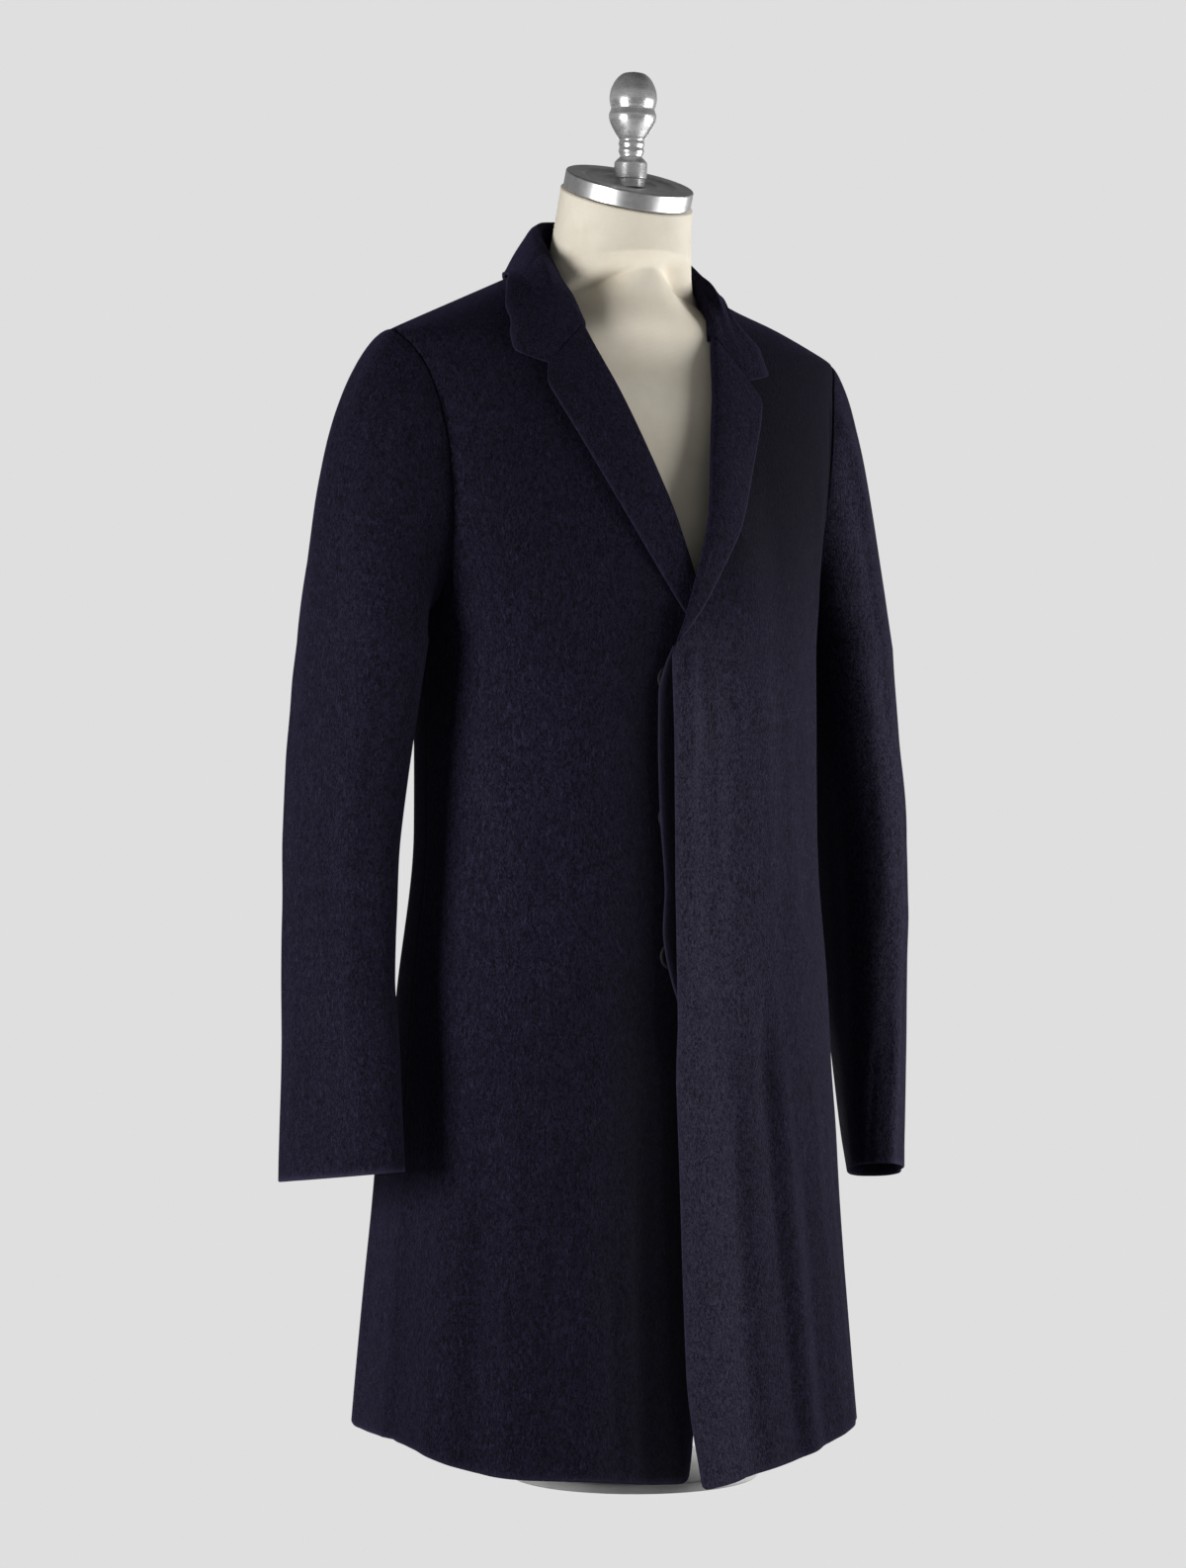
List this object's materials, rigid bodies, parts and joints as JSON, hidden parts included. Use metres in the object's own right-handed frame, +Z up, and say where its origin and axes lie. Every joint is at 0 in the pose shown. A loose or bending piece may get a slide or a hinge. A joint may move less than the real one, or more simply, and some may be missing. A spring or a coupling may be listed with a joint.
{
  "type": "wool overcoat on a dress form",
  "caption": "Single-breasted navy wool overcoat with notched lapels and a covered button placket, on a limbless dress form with a metal neck cap and a turned finial.",
  "frame": {"origin": "on the floor, at the centre of the underside of the foot, under the pole", "axes": "+Z up the pole, the coat faces -Y, +X is the wearer's left"},
  "size_m": [0.5647, 0.3499, 1.1032],
  "materials": {
    "wool": "brushed, short nap",
    "buttons": "satin",
    "canvas": "fine plain weave, stretched",
    "aluminium": "turned and polished",
    "stand": "pale satin enamel"
  },
  "bodies": {
    "root": {"back": "wool", "front_left": "wool", "front_right": "wool", "sleeve_top_left": "wool", "sleeve_under_left": "wool", "sleeve_top_right": "wool", "sleeve_under_right": "wool", "lapel_left": "wool", "lapel_right": "wool", "collar_fall": "wool", "collar_stand": "wool", "placket": "wool", "button_1": "buttons", "button_2": "buttons", "button_3": "buttons", "form_body": "canvas", "neck_cap": "aluminium", "finial": "aluminium", "form_socket": "stand", "pole": "stand", "foot": "stand"}
  },
  "joints": []
}
